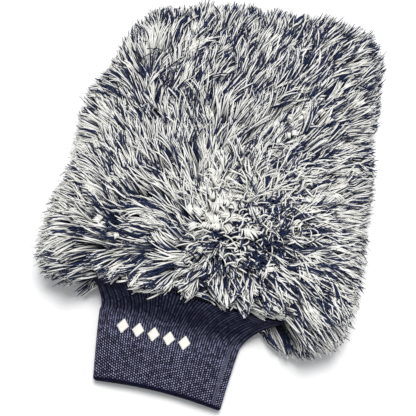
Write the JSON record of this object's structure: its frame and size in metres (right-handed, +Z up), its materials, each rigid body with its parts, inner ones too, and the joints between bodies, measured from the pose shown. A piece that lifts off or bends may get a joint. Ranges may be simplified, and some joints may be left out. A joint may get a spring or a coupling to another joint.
{
  "type": "wash mitt",
  "caption": "Rectangular hand mitt with long shaggy microfibre pile on both faces and a ribbed knit wrist cuff that flexes at the wrist.",
  "frame": {"origin": "centre of the whole mitt's box, on the surface that the mitt lies on", "axes": "+Y towards the fingertips, the cuff towards -Y, +Z up out of the back of the hand"},
  "size_m": [0.227, 0.3034, 0.059],
  "materials": {
    "pile": "long cut pile, off-white and navy strands",
    "ground": "woven ground fabric",
    "lining": "plain woven lining",
    "knit": "rib knit, slate navy",
    "thread": "overlocked polyester thread",
    "elastic": "woven elastic",
    "satin": "satin-stitched thread",
    "stabiliser": "non-woven"
  },
  "bodies": {
    "mitt": {"back_pile": "pile", "palm_pile": "pile", "back_backing": "ground", "palm_backing": "ground", "back_lining": "lining", "palm_lining": "lining", "edge_seam": "thread", "lining_seam": "thread", "mouth_seam": "thread", "cuff_throat": "knit"},
    "cuff": {"cuff_outer_layer": "knit", "cuff_inner_layer": "knit", "cuff_elastic": "elastic", "cuff_side_seam": "knit", "embroidered_mark": "satin", "embroidery_backing": "stabiliser"}
  },
  "joints": [
    {"name": "cuff_flex", "type": "hinge", "parent": "mitt", "child": "cuff", "pos_m": [0, -0.10025, 0.01], "axis": [-1, 0, 0], "range_deg": [-60, 60], "deforming": ["cuff_throat"]}
  ]
}
